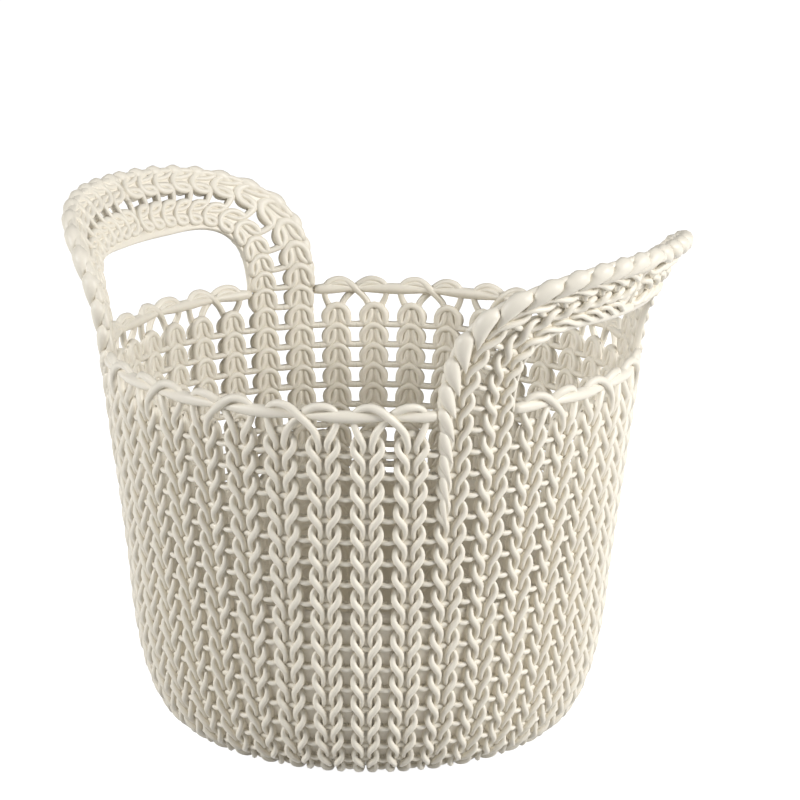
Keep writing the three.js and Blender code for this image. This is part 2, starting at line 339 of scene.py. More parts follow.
class FlatMap:
    """Node trees that lay out copies of a flat piece and bend them onto the basket.

    A flat piece is drawn in millimetres: X along the rim, Y up the wall and Z the depth below
    its outer face.
    """

    weld_distance: float = 0.002
    blend_courses: float = 1.2
    profile_fineness: int = 64
    arch_samples: int = 240

    def __init__(self, material: bpy.types.Material) -> None:
        """Makes the curves that the trees follow, and the trees.

        Args:
            material: The finish of every piece.
        """
        h = HANDLE
        self.material = material
        arch_half = h.hole_half_width + h.outer_offset
        self.profile = self.wall_profile()
        self.hole = self.arch_curve(
            "hole_edge", h.hole_half_width, h.hole_rise, h.hole_side_exponent, h.hole_top_exponent
        )
        self.arch = self.arch_curve(
            "outer_arch", arch_half, h.hole_rise + h.arch_spread, h.arch_side_exponent, h.arch_top_exponent
        )
        self.wall_tree = self.make_wall_tree()
        self.handle_tree = self.make_handle_tree()

    def wall_profile(self) -> bpy.types.Object:
        """Section of the wall's outer face: from the axis along the ground, up and past the rim.

        Returns:
            The curve, X out from the axis and Z up.
        """
        s = SIZES
        corner_radius = s.wall_rim_radius - s.wall_slope * (s.rim_height - s.corner_top)
        crown = (s.wall_rim_radius + s.wall_slope * s.crown_run, s.rim_height + s.crown_run)
        corner = (corner_radius, s.corner_top)
        below = (corner_radius - s.wall_slope * s.corner_wall_pull, s.corner_top - s.corner_wall_pull)
        foot = (s.foot_radius, 0.0)
        knots = [
            ((0.0, 0.0), (0.0, 0.0), (s.foot_radius / 2, 0.0)),
            ((s.foot_radius / 2, 0.0), foot, (s.foot_radius + s.corner_foot_pull, 0.0)),
            (below, corner, corner),
            (crown, crown, crown),
        ]
        curve = bpy.data.curves.new("wall_profile", "CURVE")
        curve.dimensions = "3D"
        curve.resolution_u = self.profile_fineness
        spline = curve.splines.new("BEZIER")
        spline.bezier_points.add(len(knots) - 1)
        for point, (left, place, right) in zip(spline.bezier_points, knots):
            point.handle_left_type = "FREE"
            point.handle_right_type = "FREE"
            point.handle_left = (left[0], 0.0, left[1])
            point.co = (place[0], 0.0, place[1])
            point.handle_right = (right[0], 0.0, right[1])
        return helper(curve)

    def arch_curve(
        self, name: str, half_width: float, rise: float, side_exponent: float, top_exponent: float
    ) -> bpy.types.Object:
        """An arch with squared shoulders, from one foot over the top to the other.

        Args:
            name: The curve's name.
            half_width: Half its width.
            rise: Its height.
            side_exponent: How square its sides are.
            top_exponent: How square its top is.

        Returns:
            The curve, X across and Y above the rim.
        """
        curve = bpy.data.curves.new(name, "CURVE")
        curve.dimensions = "3D"
        spline = curve.splines.new("POLY")
        spline.points.add(self.arch_samples)
        for index, point in enumerate(spline.points):
            turn = math.pi * (1 - math.cos(math.pi * index / self.arch_samples)) / 2
            across = math.copysign(abs(math.cos(turn)) ** (2 / side_exponent), math.cos(turn))
            height = abs(math.sin(turn)) ** (2 / top_exponent)
            point.co = (half_width * across, rise * height, 0.0, 1.0)
        return helper(curve)

    def wall_place(
        self, maker: TreeMaker, angle: Value, lift: Value, depth: Value
    ) -> bpy.types.NodeSocket:
        """Nodes that find a place in the wall.

        Args:
            maker: The tree to add them to.
            angle: Turn about the upright axis.
            lift: Way up the wall from where it leaves the ground.
            depth: Depth below its outer face.

        Returns:
            The place, in millimetres.
        """
        profile = maker.add("GeometryNodeObjectInfo", Object=maker.given("Profile"))
        sample = maker.add(
            "GeometryNodeSampleCurve",
            {"mode": "LENGTH"},
            Curves=profile.outputs["Geometry"],
            Length=lift + SIZES.foot_radius,
        )
        radius, _, height = maker.split(sample.outputs["Position"])
        outward, _, upward = maker.split(sample.outputs["Tangent"])
        reach = radius - upward * depth
        return maker.join(
            reach * reckon(maker.tree, "COSINE", angle),
            reach * reckon(maker.tree, "SINE", angle),
            height + outward * depth,
        )

    def copies(self, maker: TreeMaker) -> bpy.types.NodeSocket:
        """Nodes that repeat the flat piece along a line, as real meshes.

        Args:
            maker: The tree to add them to.

        Returns:
            The copies.
        """
        line = maker.add(
            "GeometryNodeMeshLine",
            {"mode": "OFFSET"},
            Count=maker.given("Count"),
            Start_Location=maker.given("Start"),
            Offset=maker.given("Step"),
        )
        index = Value(maker.tree, maker.add("GeometryNodeInputIndex").outputs[0])
        grown_size = maker.given("First Size") + index * maker.given("Size Step")
        size = reckon(maker.tree, "MINIMUM", grown_size, maker.given("Last Size"))
        copied = maker.add(
            "GeometryNodeInstanceOnPoints",
            Points=line.outputs[0],
            Instance=maker.given("Geometry"),
            Scale=maker.join(size, 1.0, reckon(maker.tree, "MINIMUM", size, 1.0)),
        )
        return maker.add("GeometryNodeRealizeInstances", Geometry=copied.outputs[0]).outputs[0]

    def make_wall_tree(self) -> bpy.types.NodeTree:
        """Tree that repeats a flat piece and bends the copies round the wall.

        Returns:
            The tree.
        """
        maker = TreeMaker("bend_round_wall")
        self.add_inputs(maker)
        flat = self.copies(maker)
        across, lift, depth = maker.split(maker.add("GeometryNodeInputPosition").outputs[0])
        angle = maker.given("Turn") + across / SIZES.middle_radius
        place = self.wall_place(maker, angle, lift, depth)
        return maker.finish(self.merged(maker, self.bent(maker, flat, place)))

    def add_inputs(self, maker: TreeMaker) -> None:
        """Gives a tree the inputs that both trees have.

        Args:
            maker: The tree.
        """
        maker.inputs({
            "Count": "Int",
            "Start": "Vector",
            "Step": "Vector",
            "First Size": "Float",
            "Size Step": "Float",
            "Last Size": "Float",
            "Turn": "Float",
            "Profile": "Object",
            "Material": "Material",
        })

    def bent(
        self, maker: TreeMaker, flat: bpy.types.NodeSocket, place: bpy.types.NodeSocket
    ) -> bpy.types.NodeSocket:
        """Nodes that move every flat point to its place, scaled to metres."""
        scaled = maker.add("ShaderNodeVectorMath", {"operation": "SCALE"}, Vector=place, Scale=MM)
        return maker.add("GeometryNodeSetPosition", Geometry=flat, Position=scaled.outputs[0]).outputs[0]

    def merged(self, maker: TreeMaker, geometry: bpy.types.NodeSocket) -> bpy.types.NodeSocket:
        """Nodes that weld what meets."""
        distance = self.weld_distance * MM
        return maker.add("GeometryNodeMergeByDistance", Geometry=geometry, Distance=distance).outputs[0]

    def handle_place(
        self, maker: TreeMaker, across: Value, lift: Value, depth: Value
    ) -> bpy.types.NodeSocket:
        """Nodes that find a place on a handle's sheet, above the rim.

        Args:
            maker: The tree to add them to.
            across: Way out from the inner band's middle.
            lift: Way up the leg and round the arch, as on the wall.
            depth: Depth below the sheet's outer face.

        Returns:
            The place, in millimetres, for the handle's half on the +Y side.
        """
        h = HANDLE
        tree = maker.tree
        course = (lift - SIZES.first_course) / SIZES.course_rise
        share = (course - SIZES.rim_course) / (2 * h.crown_courses)
        ends = []
        for name in ("Hole", "Arch"):
            curve = maker.add("GeometryNodeObjectInfo", Object=maker.given(name)).outputs["Geometry"]
            sample = maker.add("GeometryNodeSampleCurve", {"mode": "FACTOR"}, Curves=curve, Factor=share)
            ends.append(maker.split(sample.outputs["Position"]))
        (hole_across, hole_rise, _), (arch_across, arch_rise, _) = ends
        stretch = (across * (h.leg_spacing / SIZES.pitch) + h.inner_offset) / h.outer_offset
        side = hole_across + (arch_across - hole_across) * stretch
        rise = hole_rise + (arch_rise - hole_rise) * stretch
        chord = reckon(tree, "SQRT", SIZES.middle_radius**2 - side * side)
        sag = SIZES.middle_radius - chord
        open_out = 1.0 - rise * h.flare_flatten
        lean = rise * (h.flare_slope + rise * h.flare_curve)
        lean_up = h.flare_slope + rise * (2 * h.flare_curve) + sag * h.flare_flatten
        out_side = side / chord * open_out
        length = reckon(tree, "SQRT", 1.0 + out_side * out_side + lean_up * lean_up)
        inward = (depth - SIZES.wall_depth / 2) / length
        return maker.join(
            SIZES.middle_radius + lean - sag * open_out - inward,
            side - out_side * inward,
            SIZES.rim_height + rise + lean_up * inward,
        )

    def make_handle_tree(self) -> bpy.types.NodeTree:
        """Tree that repeats a flat piece up a handle's leg and over its arch, on both sides.

        Returns:
            The tree.
        """
        maker = TreeMaker("bend_over_handle")
        self.add_inputs(maker)
        maker.inputs({"Hole": "Object", "Arch": "Object"})
        flat = self.copies(maker)
        across, lift, depth = maker.split(maker.add("GeometryNodeInputPosition").outputs[0])
        angle = across / SIZES.middle_radius + HANDLE.leg_angle
        low = self.wall_place(maker, angle, lift, depth)
        high = self.handle_place(maker, across, lift, depth)
        rim_share = (lift - SIZES.wall_length) / (self.blend_courses * SIZES.course_rise) + 0.5
        blend = maker.add("ShaderNodeMix", {"data_type": "VECTOR"}, Factor=rim_share)
        feed(maker.tree, blend.inputs[VECTOR_A], low)
        feed(maker.tree, blend.inputs[VECTOR_B], high)
        half = self.bent(maker, flat, blend.outputs[VECTOR_RESULT])
        mirrored = maker.add("GeometryNodeTransform", Geometry=half, Scale=(1.0, -1.0, 1.0))
        turned_out = maker.add("GeometryNodeFlipFaces", Mesh=mirrored.outputs[0])
        both = maker.add("GeometryNodeJoinGeometry")
        feed(maker.tree, both.inputs[0], half)
        feed(maker.tree, both.inputs[0], turned_out.outputs[0])
        turn = maker.join(0.0, 0.0, maker.given("Turn"))
        whole = self.merged(maker, both.outputs[0])
        placed = maker.add("GeometryNodeTransform", Geometry=whole, Rotation=turn)
        return maker.finish(placed.outputs[0])

    def laid(
        self, tree: bpy.types.NodeTree, name: str, flat: bpy.types.Mesh, turn: float, row: Row
    ) -> bpy.types.Object:
        """Makes a piece from copies of a flat one.

        Args:
            tree: The tree that bends it.
            name: The piece's name.
            flat: The flat piece.
            turn: Turn about the upright axis.
            row: Where its copies lie.

        Returns:
            The piece, a plain mesh in metres.
        """
        values = {
            "Count": row.count,
            "Start": row.start,
            "Step": row.step,
            "First Size": row.first_size,
            "Size Step": row.size_step,
            "Last Size": row.last_size,
            "Turn": turn,
            "Profile": self.profile,
            "Hole": self.hole,
            "Arch": self.arch,
            "Material": self.material,
        }
        return grown(name, flat, tree, values)

    def on_handle(self, name: str, flat: bpy.types.Mesh, turn: float, row: Row = Row()) -> bpy.types.Object:
        """Makes a piece of a handle, its copies running up each leg and over the arch."""
        return self.laid(self.handle_tree, name, flat, turn, row)

    def on_wall(self, name: str, flat: bpy.types.Mesh, turn: float, row: Row = Row()) -> bpy.types.Object:
        """Makes a piece of the wall, the turn being the angle at which flat X is 0."""
        return self.laid(self.wall_tree, name, flat, turn, row)

    def clear(self) -> None:
        """Removes the curves that the trees followed."""
        for curve in (self.profile, self.hole, self.arch):
            bpy.data.objects.remove(curve)


def helper(data: bpy.types.ID) -> bpy.types.Object:
    """Object for data that only the node trees read.

    Args:
        data: The data.

    Returns:
        The object, hidden in renders.
    """
    made = bpy.data.objects.new(data.name, data)
    bpy.context.scene.collection.objects.link(made)
    made.hide_render = True
    return made


def grown(
    name: str, flat: bpy.types.Mesh, tree: bpy.types.NodeTree, values: dict[str, object]
) -> bpy.types.Object:
    """Runs a tree on a flat piece and keeps the result as a plain mesh.

    Args:
        name: The piece's name.
        flat: The flat piece.
        tree: The Geometry Nodes tree.
        values: Values for the tree's inputs, by name. Names that the tree lacks are left out.

    Returns:
        The piece's object, at the origin.
    """
    seed = bpy.data.objects.new(name + "_flat", flat)
    bpy.context.scene.collection.objects.link(seed)
    modifier = seed.modifiers.new("bend", "NODES")
    modifier.node_group = tree
    for item in tree.interface.items_tree:
        if item.in_out == "INPUT" and item.name in values:
            modifier[item.identifier] = values[item.name]
    evaluated = seed.evaluated_get(bpy.context.evaluated_depsgraph_get())
    mesh = bpy.data.meshes.new_from_object(evaluated)
    mesh.name = name
    bpy.data.objects.remove(seed)
    piece = bpy.data.objects.new(name, mesh)
    bpy.context.scene.collection.objects.link(piece)
    return piece


def register(piece: bpy.types.Object, *nodes: str) -> None:
    """Joins a finished piece to the frame.

    Args:
        piece: The piece.
        nodes: The frame's nodes that it stands for.
    """
    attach(piece, BODY)
    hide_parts(*nodes)
    log.info("%s: %d faces", piece.name, len(piece.data.polygons))


class FlatMesh:
    """Gathers the strands and blocks of one flat piece."""

    def __init__(self) -> None:
        """Starts with nothing."""
        self.points: list[Vector] = []
        self.faces: list[list[int]] = []

    def loft(self, rings: Sequence[Sequence[Vector]], foot: bool = True, head: bool = True) -> None:
        """Adds a solid through rings of points.

        Args:
            rings: The rings, each with as many points, turning anticlockwise about their run.
            foot: Whether its first end is closed.
            head: Whether its last end is closed.
        """
        first = len(self.points)
        sides = len(rings[0])
        for ring in rings:
            self.points.extend(ring)
        for span in range(len(rings) - 1):
            near = first + span * sides
            for side in range(sides):
                after = (side + 1) % sides
                self.faces.append([near + after, near + side, near + sides + side, near + sides + after])
        if foot:
            self.faces.append([first + side for side in range(sides)])
        if head:
            last = first + (len(rings) - 1) * sides
            self.faces.append([last + side for side in reversed(range(sides))])

    def strand(
        self,
        turns: Sequence[FlatPoint],
        diameters: Sequence[float],
        sides: int,
        spans: int,
        shift: float = 0.0,
        hand: int = 1,
    ) -> None:
        """Adds a round strand along a smooth line.

        Args:
            turns: The places that it passes: across in columns, up in courses and depth in millimetres.
            diameters: Its diameter, as values evenly spaced along it.
            sides: How many flat sides it has round it.
            spans: How many spans it has along it.
            shift: How far across the whole strand lies, in columns.
            hand: 1 as it is, or -1 for its mirror image.
        """
        scale = Vector((SIZES.pitch, SIZES.course_rise, 1.0))
        knots = [Vector((hand * x + shift, y, z)) * scale for x, y, z in turns]
        line = even_line(smooth_line(knots), spans)
        side = Vector((0.0, 0.0, 1.0))
        rings = []
        for index, place in enumerate(line):
            run = (line[min(index + 1, spans)] - line[max(index - 1, 0)]).normalized()
            side = (side - run * side.dot(run)).normalized()
            over = run.cross(side)
            radius = spaced(diameters, index / spans) / 2
            ring = []
            for corner in range(sides):
                turn = 2 * math.pi * corner / sides
                ring.append(place + side * (math.cos(turn) * radius) + over * (math.sin(turn) * radius))
            rings.append(ring)
        self.loft(rings)

    def mesh(self, name: str) -> bpy.types.Mesh:
        """The gathered shapes as one mesh.

        Args:
            name: The mesh's name.

        Returns:
            The mesh.
        """
        made = bpy.data.meshes.new(name)
        made.from_pydata(self.points, [], self.faces)
        return made


def spaced(values: Sequence[float], share: float) -> float:
    """Value at a share of the way through evenly spaced ones.

    Args:
        values: The values.
        share: How far through them, from 0 to 1.

    Returns:
        The value there.
    """
    place = share * (len(values) - 1)
    low = min(int(place), len(values) - 2) if len(values) > 1 else 0
    high = min(low + 1, len(values) - 1)
    return values[low] + (values[high] - values[low]) * (place - low)


def smooth_line(knots: Sequence[Vector], fineness: int = 10) -> list[Vector]:
    """Points close together on the smooth line through some knots.

    Args:
        knots: The knots.
        fineness: How many points follow each knot.

    Returns:
        The points.
    """
    ends = [knots[0] * 2 - knots[1], *knots, knots[-1] * 2 - knots[-2]]
    line = []
    for a, b, c, d in zip(ends, ends[1:], ends[2:], ends[3:]):
        for step in range(fineness):
            t = step / fineness
            linear = (c - a) * t
            square = (2 * a - 5 * b + 4 * c - d) * t**2
            cube = (3 * b - a - 3 * c + d) * t**3
            line.append(0.5 * (2 * b + linear + square + cube))
    return [*line, knots[-1].copy()]


def even_line(line: Sequence[Vector], spans: int) -> list[Vector]:
    """The same line as evenly spaced points.

    Args:
        line: Points close together on it.
        spans: How many spans it gets.

    Returns:
        The points, one more than the spans.
    """
    ways = [0.0]
    for before, after in zip(line, line[1:]):
        ways.append(ways[-1] + (after - before).length)
    even = []
    index = 0
    for step in range(spans + 1):
        way = ways[-1] * step / spans
        while index < len(line) - 2 and ways[index + 1] < way:
            index += 1
        share = (way - ways[index]) / (ways[index + 1] - ways[index])
        even.append(line[index].lerp(line[index + 1], min(share, 1.0)))
    return even


@dataclass(frozen=True)
class KnitStitch:
    """One moulded stitch: V legs outside, and an arch over two legs and a bar inside."""

    core_outer: float = 3.1
    core_inner: float = 3.8
    core_bevel: float = 0.5
    core_waist: float = 0.26
    core_swell: float = 0.10
    core_lap: float = 0.02
    core_slices: int = 6
    outer_sides: int = 8
    inner_sides: int = 6
    leg_spans: int = 18
    inner_spans: int = 8
    bar_spans: int = 6
    arch_spans: int = 14
    leg_diameters: tuple[float, ...] = (0.56, 0.70, 0.76, 0.84, 0.97, 1.0, 0.97, 0.86, 0.74, 0.56)
    bar_diameters: tuple[float, ...] = (1.75, 2.0, 1.8, 1.4, 1.0)
    last_bar_diameters: tuple[float, ...] = (2.4, 2.4, 2.4, 2.2, 1.4)

    @property
    def hook(self) -> list[FlatPoint]:
        """Low end of the left leg, from behind the leg below out to the face.

        Returns:
            Its turns.
        """
        return [
            (-0.18, 0.02, 3.1),
            (-0.135, 0.16, 2.7),
            (-0.105, 0.34, 2.25),
            (-0.095, 0.55, 1.85),
        ]

    @property
    def leg(self) -> list[FlatPoint]:
        """Left leg of the V.

        Returns:
            Its turns.
        """
        face = SIZES.outer_line
        return [
            *self.hook,
            (-0.125, 0.78, face + 0.15),
            (-0.205, 0.99, face),
            (-0.28, 1.17, face + 0.03),
            (-0.325, 1.36, face + 0.25),
            (-0.325, 1.54, face + 0.7),
            (-0.29, 1.70, face + 1.35),
            (-0.25, 1.80, face + 2.05),
        ]

    @property
    def inner_leg(self) -> list[FlatPoint]:
        """Left half of the bar inside, its bend and the leg that it turns into.

        Returns:
            Its turns.
        """
        line = SIZES.inner_line
        return [
            (-0.55, 0.0, line - 0.15),
            (-0.40, 0.0, line - 0.1),
            (-0.22, 0.05, line - 0.1),
            (-0.125, 0.25, line - 0.2),
            (-0.095, 0.52, line - 0.35),
            (-0.09, 0.88, line - 0.6),
        ]

    @property
    def edge_leg(self) -> list[FlatPoint]:
        """The same where no stitch follows on the left."""
        return [(-0.27, -0.02, 2.9), *self.inner_leg[2:]]

    @property
    def outer_bar(self) -> list[FlatPoint]:
        """Left half of the bar as it bulges on the outside, its end sunk behind the leg.

        Returns:
            Its turns.
        """
        return [
            (-0.57, 0.03, 2.0),
            (-0.50, 0.02, 1.9),
            (-0.40, 0.04, 2.1),
            (-0.29, 0.10, 2.6),
            (-0.20, 0.13, 3.2),
        ]

    @property
    def arch(self) -> list[FlatPoint]:
        """Arch inside, from foot to foot.

        Returns:
            Its turns.
        """
        line = SIZES.wall_depth - SIZES.arch_strand / 2
        half = [
            (-0.27, 0.98, line - 0.2),
            (-0.30, 1.25, line),
            (-0.285, 1.55, line),
            (-0.19, 1.82, line),
        ]
        return [*half, (0.0, 1.97, line + 0.1), *((-x, y, z) for x, y, z in reversed(half))]

    def draw_leg(self, flat: FlatMesh, hand: int) -> None:
        """Adds one leg of the V, thinner where it hooks in."""
        diameters = [SIZES.strand * share for share in self.leg_diameters]
        flat.strand(self.leg, diameters, self.outer_sides, self.leg_spans, 0.0, hand)

    def draw_inner_leg(self, flat: FlatMesh, hand: int, shift: float = 0.0) -> None:
        """Adds half of the bar and one inner leg of a stitch."""
        flat.strand(self.inner_leg, [SIZES.inner_strand], self.inner_sides, self.inner_spans, shift, hand)
        flat.strand(self.outer_bar, self.bar_diameters, self.outer_sides, self.bar_spans, shift, hand)

    def draw_edge_leg(self, flat: FlatMesh, hand: int) -> None:
        """Adds the inner leg on a side where no stitch follows."""
        flat.strand(self.edge_leg, [SIZES.inner_strand], self.inner_sides, self.inner_spans, 0.0, hand)

    def draw_core(self, flat: FlatMesh, top: float, shift: float = 0.0) -> None:
        """Adds the solid between the two faces of a stitch.

        Args:
            flat: The flat piece.
            top: Its height, in courses.
            shift: How far across it lies, in columns.
        """
        rings = []
        for index in range(self.core_slices + 1):
            course = -self.core_lap + (top + 2 * self.core_lap) * index / self.core_slices
            wave = abs(math.sin(math.pi * course))
            half = SIZES.pitch * (self.core_waist + self.core_swell * wave)
            corners = [
                (-half, self.core_outer + self.core_bevel),
                (-half, self.core_inner - self.core_bevel),
                (-half + self.core_bevel, self.core_inner),
                (half - self.core_bevel, self.core_inner),
                (half, self.core_inner - self.core_bevel),
                (half, self.core_outer + self.core_bevel),
                (half - self.core_bevel, self.core_outer),
                (-half + self.core_bevel, self.core_outer),
            ]
            up = course * SIZES.course_rise
            rings.append([Vector((x + shift * SIZES.pitch, up, z)) for x, z in corners])
        flat.loft(rings)

    def mesh(self, free_side: int = 0, has_petal: bool = False) -> bpy.types.Mesh:
        """The whole stitch, flat, its bar at height 0.

        Args:
            free_side: The side on which no stitch follows: 1, -1 or 0 for none.
            has_petal: Whether a petal takes the place of the leg on that side.

        Returns:
            The flat piece.
        """
        flat = FlatMesh()
        for hand in (1, -1):
            is_free = hand == -free_side
            if not (is_free and has_petal):
                self.draw_leg(flat, hand)
            if is_free:
                self.draw_edge_leg(flat, hand)
            else:
                self.draw_inner_leg(flat, hand)
        flat.strand(self.arch, [SIZES.arch_strand], self.outer_sides, self.arch_spans)
        self.draw_core(flat, 1.0)
        return flat.mesh("stitch")

    def crown(self, free_side: int, top: float) -> bpy.types.Mesh:
        """Flat piece that closes a band at the middle of its arch.

        Args:
            free_side: The side on which no band follows: 1 or -1.
            top: Way from its first bar to the middle of the arch, in courses.

        Returns:
            The flat piece: a bar, two legs, the core and a last bar at the middle.
        """
        flat = FlatMesh()
        self.draw_inner_leg(flat, free_side)
        self.draw_edge_leg(flat, -free_side)
        line = SIZES.inner_line
        last_bar = [
            (-0.55, top, line - 0.2),
            (-0.38, top, line - 0.4),
            (-0.1, top, line - 0.9),
            (0.25, top, line - 1.1),
        ]
        flat.strand(last_bar, self.last_bar_diameters, self.outer_sides, self.inner_spans, 0.0, free_side)
        self.draw_core(flat, top)
        return flat.mesh("crown_stitch")


@dataclass(frozen=True)
class WallPanels:
    """The stitch columns of the four panels between the handles."""

    under_base: int = -2
    top_course: int = 14
    side_columns: int = 6
    panel_columns: int = 10
    side_first: float = math.radians(-22.5)
    panel_first: float = math.radians(49.5)
    first_open_course: int = 9
    last_course: int = 17

    def build(self, flat_map: FlatMap, stitch: bpy.types.Mesh) -> None:
        """Builds every column and joins it to the frame.

        Args:
            flat_map: What bends the flat pieces.
            stitch: The flat stitch that a column repeats.
        """
        open_courses = range(self.first_open_course, self.last_course + 1)
        hoops = [f"course_hoop_{course:02d}" for course in open_courses]
        row = Row(self.top_course - self.under_base + 1, (0.0, SIZES.lift(self.under_base), 0.0))
        for end in End:
            count = self.side_columns if end.is_side else self.panel_columns
            first = self.side_first if end.is_side else self.panel_first
            for column in range(count):
                node = f"{end.label}_column_{column + 1:02d}"
                turn = end.turn + first + column * SIZES.column_turn
                register(flat_map.on_wall(node + "_stitches", stitch, turn, row), node, *hoops)


@dataclass(frozen=True)
class BaseCup:
    """The floor and the closed web behind the lower courses."""

    web_outer: float = 3.7
    web_inner: float = 4.6
    web_top_course: float = 7.6
    floor_depth: float = 2.6
    foot_lap: float = 6.0
    corner_depth: float = 5.3
    corner_reach: float = 5.0
    dish: float = 14.0
    slices: int = 160
    climb_steps: int = 24

    @property
    def outline(self) -> list[tuple[float, float]]:
        """Section of the cup.

        Returns:
            Its corners, each as a way up the wall and a depth.
        """
        top = SIZES.lift(self.web_top_course)
        axis = -SIZES.foot_radius
        steps = self.climb_steps
        lifts = [self.foot_lap + (top - self.foot_lap) * step / steps for step in range(steps + 1)]
        outline = [(axis, 0.0), (-self.foot_lap, 0.0), (0.0, self.web_outer / 2)]
        outline += [(lift, self.web_outer) for lift in lifts]
        outline += [(lift, self.web_inner) for lift in reversed(lifts)]
        outline += [(0.0, self.corner_depth), (-self.corner_reach, self.corner_depth)]
        return [*outline, (-self.dish, self.floor_depth), (axis, self.floor_depth)]

    def build(self, flat_map: FlatMap) -> None:
        """Builds the cup and joins it to the frame.

        Args:
            flat_map: What bends the flat pieces.
        """
        flat = FlatMesh()
        round_way = 2 * math.pi * SIZES.middle_radius
        rings = []
        for index in range(self.slices + 1):
            across = round_way * index / self.slices
            rings.append([Vector((across, lift, depth)) for lift, depth in self.outline])
        flat.loft(rings, foot=False, head=False)
        register(flat_map.on_wall("base_cup_shell", flat.mesh("cup"), 0.0), "base_cup")


@dataclass(frozen=True)
class Rim:
    """The rim's cord and the crossed strands that lash it, with the top row of stitches."""

    top_course: int = 15
    side_units: int = 3
    panel_units: int = 5
    turned_units: int = 3
    side_reach: float = math.radians(27.9)
    cord_end_share: float = 0.75
    panel_reach: float = math.radians(45.8)
    cord_thick: float = 4.5
    cord_thin: float = 2.4
    cord_depth: float = 2.7
    cord_bulge_power: float = 1.2
    cord_sides: int = 12
    over_depth: float = 1.0
    under_depth: float = 3.0
    core_top: float = 0.9
    web_diameters: tuple[float, ...] = (1.2, 1.9, 2.0, 1.6)
    loop_diameters: tuple[float, ...] = (0.7, 0.95, 1.0, 0.9, 0.9, 1.0, 1.12, 1.12, 1.0, 1.0, 0.95, 0.7)
    sides: int = 8
    loop_spans: int = 44
    web_spans: int = 8

    def strand_turns(self, knit: KnitStitch, crossing_depth: float) -> list[FlatPoint]:
        """Line of one strand: a left leg, over the cord, across the crossing and down to a left leg.

        Args:
            knit: The stitch whose hooks the strand ends in.
            crossing_depth: Depth of the strand where the two cross.

        Returns:
            Its turns: columns from the crossing, courses from the top row and depth.
        """
        face = SIZES.outer_line
        start = [(x - 0.5, y, z) for x, y, z in knit.hook]
        end = [(x + 0.5, y, z) for x, y, z in reversed(knit.hook)]
        return [
            *start,
            (-0.65, 0.80, face),
            (-0.735, 1.10, face + 0.5),
            (-0.80, 1.40, face + 1.2),
            (-0.82, 1.72, self.cord_depth + 0.3),
            (-0.76, 2.00, self.cord_depth + 0.2),
            (-0.61, 2.19, self.cord_depth - 0.2),
            (-0.40, 2.23, self.cord_depth - 0.7),
            (-0.20, 2.08, (crossing_depth + self.cord_depth - 0.9) / 2),
            (0.0, 1.77, crossing_depth),
            (0.19, 1.42, (crossing_depth + face) / 2),
            (0.32, 1.08, face),
            *end,
        ]

    @property
    def loop_web(self) -> list[FlatPoint]:
        """Solid that closes the gap between a loop and the cord."""
        depth = self.cord_depth + 0.3
        return [(-0.76, 1.85, depth), (-0.55, 2.02, depth), (-0.30, 2.02, depth), (-0.05, 1.80, depth)]

    def unit(self, knit: KnitStitch, hand: int) -> bpy.types.Mesh:
        """Flat piece of one crossing: its two strands and the two open stitches below.

        Args:
            knit: The stitch whose hooks the strands end in.
            hand: 1 where the strand that comes down to the right is on top, or -1.

        Returns:
            The flat piece.
        """
        flat = FlatMesh()
        diameters = [SIZES.strand * share for share in self.loop_diameters]
        for depth, strand_hand in ((self.over_depth, hand), (self.under_depth, -hand)):
            turns = self.strand_turns(knit, depth)
            flat.strand(turns, diameters, self.sides, self.loop_spans, 0.0, strand_hand)
        for side in (1, -1):
            flat.strand(self.loop_web, self.web_diameters, self.sides, self.web_spans, 0.0, side)
            for shift in (-0.5, 0.5):
                knit.draw_inner_leg(flat, side, shift)
        for shift in (-0.5, 0.5):
            knit.draw_core(flat, self.core_top, shift)
        return flat.mesh("rim_unit")

    def cord(self, reach: float) -> bpy.types.Mesh:
        """Flat cord of one stretch, thick between the crossings and thin behind them.

        Args:
            reach: How far it runs to each side of the stretch's middle, as a turn.

        Returns:
            The cord, X from the middle.
        """
        columns = reach / SIZES.column_turn
        steps = 8 * round(columns)
        height = SIZES.rim_course - self.top_course
        turns = []
        diameters = []
        for step in range(steps + 1):
            across = columns * (2 * step / steps - 1)
            bulge = abs(math.sin(math.pi * across / 2)) ** self.cord_bulge_power
            turns.append((across, height, self.cord_depth))
            diameters.append(self.cord_thin + (self.cord_thick - self.cord_thin) * bulge)
        diameters[0] *= self.cord_end_share
        diameters[-1] *= self.cord_end_share
        flat = FlatMesh()
        flat.strand(turns, diameters, self.cord_sides, 2 * steps)
        return flat.mesh("cord")

    def build_lashing(
        self, flat_map: FlatMap, units: dict[int, bpy.types.Mesh], end: End, middle: float
    ) -> None:
        """Builds the lashing of one stretch, its crossings turned over in the first half of a panel.

        Args:
            flat_map: What bends the flat pieces.
            units: The flat crossing for each hand.
            end: The stretch.
            middle: Angle of its middle.
        """
        count = self.side_units if end.is_side else self.panel_units
        turned_back = 0 if end.is_side else self.turned_units
        for side, hand, low, high in (("left", -1, 0, turned_back), ("right", 1, turned_back, count)):
            if low < high:
                across = (2 * low - count + 1) * SIZES.pitch
                start = (across, SIZES.lift(self.top_course), 0.0)
                row = Row(high - low, start, (2 * SIZES.pitch, 0.0, 0.0))
                name = f"{end.label}_rim_lashing_{side}_strands"
                register(flat_map.on_wall(name, units[hand], middle, row), f"{end.label}_rim_lashing")

